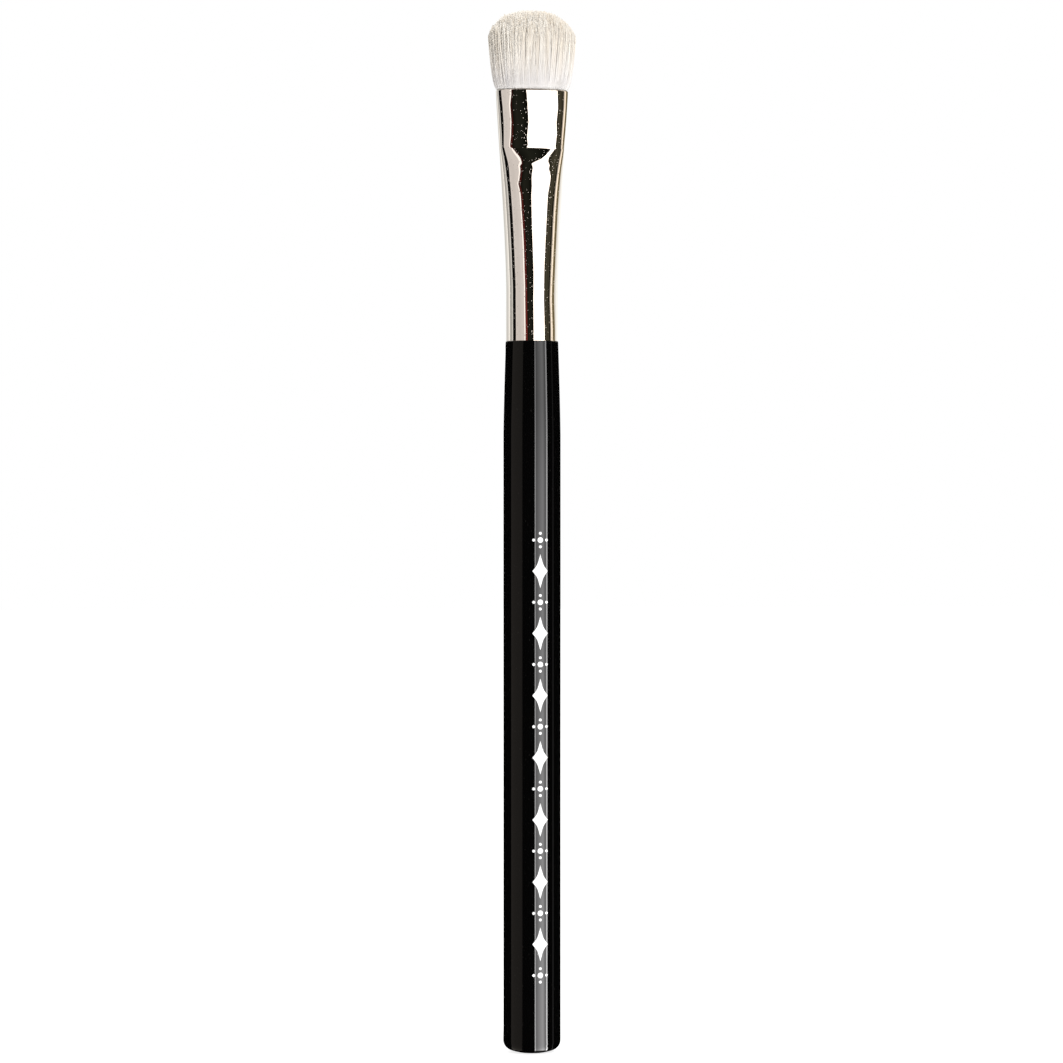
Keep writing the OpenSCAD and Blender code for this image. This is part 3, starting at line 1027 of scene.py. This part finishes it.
def card_light(name, colour, levels, foot, head):
    """Glow of a card: levels are stops of share across and strength, scaled from its foot to its head."""
    made = bpy.data.materials.new(name)
    tree = bare_tree(made)
    across, up, _ = parts_of(result(tree, "ShaderNodeUVMap", uv_map="card"))
    ramp = put(tree, "ShaderNodeValToRGB", {0: across})
    peak = max(strength for _, strength in levels)
    stops = ramp.color_ramp.elements
    while len(stops) < len(levels):
        stops.new(0.5)
    for stop, (share, strength) in zip(stops, levels):
        stop.position = share
        stop.color = (*[strength / peak] * 3, 1)
    strength = times(ramp.outputs["Color"], peak, ranged(up, 0.0, 1.0, foot, head),
                     ranged(up, FADE_FROM, OUT, 1.0, 0.0))
    glow = result(tree, "ShaderNodeEmission", {"Color": (*colour, 1), "Strength": strength})
    put(tree, "ShaderNodeOutputMaterial", {"Surface": glow})
    return made


def direction(angle):
    """Level direction at an angle from the camera's side, growing to the viewer's right."""
    return to_camera * cos(angle) + to_right * sin(angle)


def card(name, rows, colour, levels, foot=1.0, head=1.0):
    """A curved card round the brush, which only reflections see.

    Each row is a radius, a height, its first and last angle in degrees and its place from foot to head.
    """
    widest = max(row[3] - row[2] for row in rows)
    steps = max(LEAST_STEPS, ceil(widest / CARD_STEP))
    points, shares = [], []
    for radius, height, start, end, up in rows:
        for k in range(steps + 1):
            aim = direction(radians(start + (end - start) * k / steps))
            points.append((radius * aim.x, radius * aim.y, height))
            shares.append((k / steps, up))
    row = steps + 1
    faces = [(j * row + k, j * row + k + 1, (j + 1) * row + k + 1, (j + 1) * row + k)
             for j in range(len(rows) - 1) for k in range(steps)]
    mesh = meshed(name, points, faces)
    layer = mesh.uv_layers.new(name="card")
    for loop in mesh.loops:
        layer.data[loop.index].uv = shares[loop.vertex_index]
    mesh.materials.append(card_light(name, colour, levels, foot, head))
    made = added(name, mesh)
    for rays in ("camera", "diffuse", "transmission", "volume_scatter", "shadow"):
        setattr(made, f"visible_{rays}", False)


def even(level):
    return [(0.0, level), (1.0, level)]


DARK = (WHITE, even(0.004))

# Where the mirror picture in the photographed ferrule changes, read off the photograph: the rows, and
# the column of each edge on them, in pixels. None is where a row is left out, because its spot on the cards
# is another row's too
MIRROR_ROWS = (330, 300, 270, 240, 215, 195, 180, 165, 146, 135, 122, 107, 94)
BLACK_TO_BEIGE = (515.4, 515.4, 514.9, 513.9, 512.8, 511.5, 510.1, 508.3, None, 504.8, 504.1, 503.2, 501.8)
BEIGE_TO_RED = (525.3, 525.1, 524.7, 524, 522.6, 521.3, 520.2, 518.4, 510.6, 511.5, 512.1, 512.2, 512.1)
DARK_TO_WHITE = (533.5, 533.4, 533.8, 533, 532.4, 532, 531.4, None, 528.7, 529.2, 529.3, 528.5, 527.6)
WHITE_TO_OLIVE = (544.5, 543.9, 544.5, 546, 547.4, 548.5, 549.9, 552.1, 557.4, 557.5, 557.3, 557.7, 558.4)
OLIVE_TO_GOLD = (550.2, 549.5, 550.8, 552.3, 553.6, 555.1, 556.7, 558.4, 561.6, 562.5, 563.1, 564.3, 564.6)
# The edge of the dark wedge in the shoulder under the press
WEDGE_ROWS = (163.5, 160, 156, 151.2)
WEDGE_TO_WHITE = (532.5, 539.3, 546, 550)
# The photographed brush is bent a little off its axis, by so many pixels at these rows
BENT_ROWS = (94, 220, 330)
BENT_PIXELS = (0.8, 0.6, -0.2)
# Widths in degrees of the narrow bands beside those edges, at these heights in mm
BAND_HEIGHTS = (109, 136, 141, 146)
BLACK_WIDTHS = (14, 13.5, 20, 20)
RED_WIDTHS = (9.5, 7, 5, 3)
GOLD_WIDTHS = (14, 12, 18, 17)
BROWN_WIDTHS = (18, 15, 32, 46)
# Stops of an edge closer than this in height are averaged into one
CLOSE_STOPS = 1.2
# What lies between those edges: colour, levels across, and strength at the foot and the head where not 1
FERRULE_CARDS = [
    (COOL_WHITE, [(0, 0.05), (0.1, 0.05), (0.12, 1.25), (0.4, 1.2), (0.45, 0.78), (0.52, 0.76), (0.56, 1.05),
                  (0.71, 1.15), (0.73, 1.5), (0.79, 1.5), (0.81, 0.5), (0.86, 0.5), (0.88, 0.66),
                  (0.93, 0.66), (0.95, 1.0), (1, 1.0)]),
    DARK,
    ((0.99, 1.0, 1.03), [(0, 0.12), (0.05, 0.25), (0.08, 1.2), (0.16, 0.92), (0.5, 0.88), (0.7, 0.95),
                         (0.89, 0.95), (0.92, 1.7), (1, 1.7)]),
    ((1.0, 0.2, 0.18), [(0, 0.06), (0.2, 0.12), (0.4, 0.26), (0.75, 0.2), (1, 0.05)], 1.0, 0.25),
    ((0.9, 1.0, 0.78), [(0, 0.01), (0.3, 0.022), (0.7, 0.016), (0.93, 0.006), (1, 0.006)]),
    (WHITE, even(2.6)),
    ((1.0, 0.97, 0.68), [(0, 0.2), (0.04, 0.02), (0.2, 0.065), (0.35, 0.09), (0.5, 0.045), (0.65, 0.085),
                         (0.77, 0.04), (0.84, 0.004), (0.97, 0.004), (1, 0.2)]),
    ((1.0, 0.95, 0.85), [(0, 0.45), (0.3, 0.6), (0.42, 1.6), (1, 1.6)]),
    ((1.0, 0.86, 0.5), [(0, 0.5), (0.25, 0.24), (0.5, 0.17), (0.75, 0.22), (1, 0.7)]),
    (COOL_WHITE, [(0, 1.1), (0.15, 1.2), (0.3, 1.5), (0.55, 1.3), (0.84, 1.2), (0.86, 0.05), (1, 0.05)]),
]
# What the handle reflects: start, end, colour, levels across, and strength at the foot and the head likewise
HANDLE_CARDS = [
    (-160, -91, *DARK),
    (-91, -86, *DARK),
    (-86, -36, (1.0, 0.9, 0.8), [(0, 0.34), (0.06, 0.29), (0.9, 0.26), (1, 0.22)]),
    (-36, 10.8, WHITE, even(0.01)),
    (10.8, 61, (1.0, 0.985, 0.99),
     [(0, 1.5), (0.05, 1.5), (0.085, 0.42), (0.15, 0.5), (0.3, 0.68), (0.45, 0.85), (0.58, 1.0), (0.68, 0.88),
      (0.76, 0.6), (0.83, 0.45), (0.88, 0.5), (0.91, 2.2), (0.97, 2.2), (1, 1.2)], 7.1, 3.1),
    (61, 86, WHITE, even(0.006)),
    (86, 91, WHITE, even(0.3), 1.0, 0.5),
    (91, 172, *DARK),
    (172, 200, WHITE, [(0, 0.6), (0.1, 0.4), (0.6, 1.0), (0.9, 0.5), (1, 1.2)], 4.0, 2.5),
]
# Height at which the cards have dimmed by a share of the way to their strength at the head, and all the way
BRIGHT_Z, BRIGHT_SHARE = 85 * MM, 0.68
DIMMED_Z = 99 * MM
# Places past a card's foot, 0, and head, 1: where its light begins to fade, and where it has gone out
FADE_FROM, OUT = 2, 3
# Rings of the cards' foot on the floor: radius in mm and place, of which the inner ones are out
FOOT_RINGS = [(0.9, OUT), (3.4, OUT), (3.8, 0), (5.5, 0), (8, 0), (16, 0)]
# Radius in the middle of the rounding of the butt, which mirrors the floor, and the ring inside which the
# cards' picture no longer turns
ROUNDING_R = BARREL_R - BUTT_ROUND / 2
STILL_R = 5.5 * MM
# Angles of the cards' edges at the brush, so that their picture runs on over the floor and the joint
NEAR_SHARE = 1 / (2 - BARREL_R / CARD_R)
FAR_ANGLES = (-160, -91, 91, 172, 200)
NEAR_ANGLES = (-166.5, -91 * NEAR_SHARE, 91 * NEAR_SHARE, 178.5, 193.5)
FERRULE_NEAR_ANGLES = ((-180, -91, 91, 180), (-180, -91 * NEAR_SHARE, 91 * NEAR_SHARE, 180))


def read_off(stops, height):
    """Angle of an edge at a height."""
    return float(np.interp(height / MM, [s[0] for s in stops], [s[1] for s in stops]))


def ferrule_depth(spot):
    """Under 1 inside the ferrule's outer face, over 1 outside it."""
    h = min(max(spot.z - HANDLE_LEN, 0.0), FERRULE_LEN)
    across = np.clip(spot.x / half_w(h), -1, 1)
    return (spot.x / half_w(h)) ** 2 + (spot.y / (half_t(h) - float(soft_pinch(across, h)))) ** 2


def mirrored(row, column):
    """Height in mm and angle in degrees on the cards of what the camera sees in the ferrule at a pixel."""
    lean = float(np.interp(row, BENT_ROWS, BENT_PIXELS))
    eye, distance = camera_place()
    aim = to_right * ((column - lean - PHOTO_SIDE / 2) * PHOTO_SCALE) - to_camera * distance
    aim.z = (PHOTO_SIDE / 2 - row) * PHOTO_SCALE
    axis_reach = aim.length
    aim.normalize()
    inner = min((axis_reach + k * SEEK_STEP for k in range(-SEEK_STEPS, SEEK_STEPS + 1)),
                key=lambda reach: ferrule_depth(eye + aim * reach))
    outer = axis_reach - SEEK_FROM
    for _ in range(SEEK_HALVINGS):
        middle = (inner + outer) / 2
        if ferrule_depth(eye + aim * middle) < 1:
            inner = middle
        else:
            outer = middle
    spot = eye + aim * outer
    steps = [Vector(step) * NORMAL_STEP for step in ((1, 0, 0), (0, 1, 0), (0, 0, 1))]
    normal = Vector([ferrule_depth(spot + step) - ferrule_depth(spot - step) for step in steps]).normalized()
    away = aim - 2 * aim.dot(normal) * normal
    a = away.x ** 2 + away.y ** 2
    b = spot.x * away.x + spot.y * away.y
    c = spot.x ** 2 + spot.y ** 2 - CARD_R ** 2
    met = spot + away * ((sqrt(b * b - a * c) - b) / a)
    return met.z / MM, degrees(atan2(met.dot(to_right), met.dot(to_camera)))


def merged(stops):
    """Stops in order of height, close ones averaged into one."""
    groups = []
    for stop in sorted(stops):
        if groups and stop[0] - groups[-1][0][0] < CLOSE_STOPS:
            groups[-1].append(stop)
        else:
            groups.append([stop])
    return [tuple(float(mean) for mean in np.mean(group, axis=0)) for group in groups]


def mirror_edge(columns, rows=MIRROR_ROWS):
    return merged([mirrored(row, column) for row, column in zip(rows, columns) if column is not None])


def beside(stops, widths, side):
    """An edge moved to one side, -1 or 1, by a band's width."""
    return [(z, a + side * float(np.interp(z, BAND_HEIGHTS, widths))) for z, a in stops]


def ferrule_edges():
    """The edges between the ferrule's cards, from left to right, as stops of height and angle."""
    beige = mirror_edge(BLACK_TO_BEIGE)
    red = mirror_edge(BEIGE_TO_RED)
    white = mirror_edge(DARK_TO_WHITE) + mirror_edge(WEDGE_TO_WHITE, WEDGE_ROWS)
    gold = mirror_edge(OLIVE_TO_GOLD)
    brown = beside(gold, GOLD_WIDTHS, 1)
    foot = HANDLE_LEN / MM
    return [[(foot, -180)], beside(beige, BLACK_WIDTHS, -1), beige, red, beside(red, RED_WIDTHS, 1),
            white, mirror_edge(WHITE_TO_OLIVE), gold, brown, beside(brown, BROWN_WIDTHS, 1), [(foot, 180)]]


def kept_turn(radius):
    """Share of the way from the brush's angle to the card's that a ring of the foot has turned."""
    reach = max(radius, STILL_R)
    return (1 - ROUNDING_R / reach) / (1 - ROUNDING_R / CARD_R)


def make_cards():
    edges = ferrule_edges()
    stops = sorted({s[0] for edge in edges for s in edge})
    middle_heights = [z * MM for z in stops if HANDLE_LEN + MM < z * MM < CARD_TOP]
    heights = [HANDLE_LEN + CARD_FOOT] + middle_heights + [CARD_TOP]
    for n, (colour, levels, *ends) in enumerate(FERRULE_CARDS):
        near = [float(np.interp(edge[0][1], *FERRULE_NEAR_ANGLES)) for edge in edges[n:n + 2]]
        rows = [(CARD_R, z, read_off(edges[n], z), read_off(edges[n + 1], z),
                 (z - HANDLE_LEN) / FERRULE_LEN) for z in heights]
        card(f"ferrule_card_{n + 1}", rows, colour, levels, *ends)
        under = [(FERRULE_R + CARD_FOOT, HANDLE_LEN + CARD_FOOT, *near, 0), rows[0]]
        card(f"ferrule_card_foot_{n + 1}", under, colour, levels)
    for n, (start, end, colour, levels, *ends) in enumerate(HANDLE_CARDS):
        near = [float(a) for a in np.interp((start, end), FAR_ANGLES, NEAR_ANGLES)]
        under = [(radius * MM, CARD_FOOT,
                  *(a + (b - a) * kept_turn(radius * MM) for a, b in zip(near, (start, end))), up)
                 for radius, up in FOOT_RINGS]
        rows = [(CARD_R, CARD_FOOT, start, end, 0), (CARD_R, BRIGHT_Z, start, end, BRIGHT_SHARE),
                (CARD_R, DIMMED_Z, start, end, 1), (CARD_R, HANDLE_LEN, start, end, 1)]
        above = [rows[-1], (FERRULE_R + CARD_FOOT, HANDLE_LEN, *near, 1)]
        for part, its_rows in (("", rows), ("_foot", under + rows[:1]), ("_head", above)):
            card(f"handle_card{part}_{n + 1}", its_rows, colour, levels, *ends)


def look_back(made, away):
    """Turns a lamp or a camera so that it looks against a direction."""
    made.rotation_mode = "QUATERNION"
    made.rotation_quaternion = away.to_track_quat("Z", "Y")


def make_lamp(name, side, lift, power):
    """A soft square lamp aimed at the middle of the brush, at angles from the camera's direction."""
    side, lift = radians(side), radians(lift)
    away = direction(side) * cos(lift) + Vector((0, 0, sin(lift)))
    data = bpy.data.lights.new(name, "AREA")
    data.energy = power
    data.size = LAMP_WIDTH
    lamp = added(name, data)
    lamp.location = Vector((0, 0, MOUTH_Z / 2)) + away * LAMP_DISTANCE
    look_back(lamp, away)
    lamp.visible_glossy = False


def make_world():
    world = bpy.data.worlds.new("studio")
    bpy.context.scene.world = world
    tree = bare_tree(world)
    strength = ranged(seen_rays(tree), 0.0, 1.0, AMBIENT, 1.0)
    glow = result(tree, "ShaderNodeBackground", {"Color": (1, 1, 1, 1), "Strength": strength})
    put(tree, "ShaderNodeOutputWorld", {"Surface": glow})


def camera_place():
    """Where the camera stands, and its distance from the brush's axis."""
    distance = PHOTO_SIDE * PHOTO_SCALE * LENS / SENSOR
    middle = PHOTO_SIDE / 2
    place = to_camera * distance + to_right * ((middle - AXIS_COLUMN) * PHOTO_SCALE)
    place.z = row_height(middle)
    return place, distance


def make_camera():
    """The photograph's view: level with the middle of its frame, with a long lens."""
    data = bpy.data.cameras.new("camera")
    data.lens, data.sensor_width = LENS, SENSOR
    data.clip_start, data.clip_end = 0.01, 20
    camera = added("camera", data)
    camera.location, _ = camera_place()
    look_back(camera, to_camera)
    bpy.context.scene.camera = camera


def repaint(node, material):
    """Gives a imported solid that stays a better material."""
    give(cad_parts[node].data, material)


make_camera()
make_world()
make_floor()
make_cards()
for lamp_name, lamp_set in LAMPS.items():
    make_lamp(lamp_name, *lamp_set)

packed = packed_hair()
make_coat(black_lacquer())
make_print(print_white())
make_ferrule(plated_brass())
make_tuft(white_hair(), packed)
make_root(packed)
make_thread(cotton_thread())
make_resin(amber_resin())
repaint("handle_core", bare_beech())
repaint("tenon_adhesive", clear_adhesive())

bpy.context.scene.view_settings.view_transform = "Standard"
